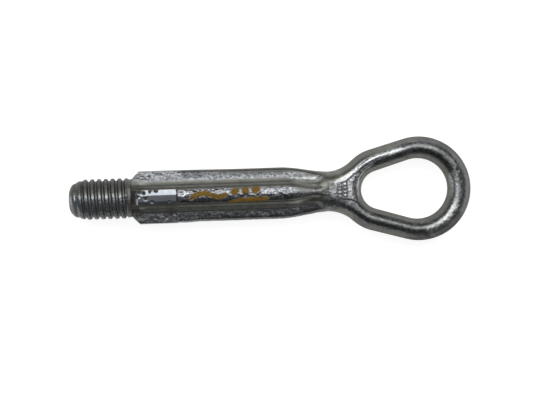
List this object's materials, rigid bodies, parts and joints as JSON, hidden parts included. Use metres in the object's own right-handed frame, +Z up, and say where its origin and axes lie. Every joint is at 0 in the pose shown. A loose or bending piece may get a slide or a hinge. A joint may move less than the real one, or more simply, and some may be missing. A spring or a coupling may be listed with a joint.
{
  "type": "tow eye",
  "caption": "Forged steel tow eye with a drop-shaped ring, a cross-ribbed shank, a turned guide and a coarse screw thread.",
  "frame": {"origin": "under the middle of the piece, on the surface that it lies on, with the plane of the eye level", "axes": "+X along the shank from the thread to the eye, +Y across the eye, +Z up, across the plane of the eye"},
  "size_m": [0.1766, 0.0458, 0.0235],
  "materials": {
    "plated_steel": "as-forged steel with a dull zinc plating, smooth where turned"
  },
  "bodies": {
    "root": {"tow_eye": "plated_steel"}
  },
  "joints": []
}
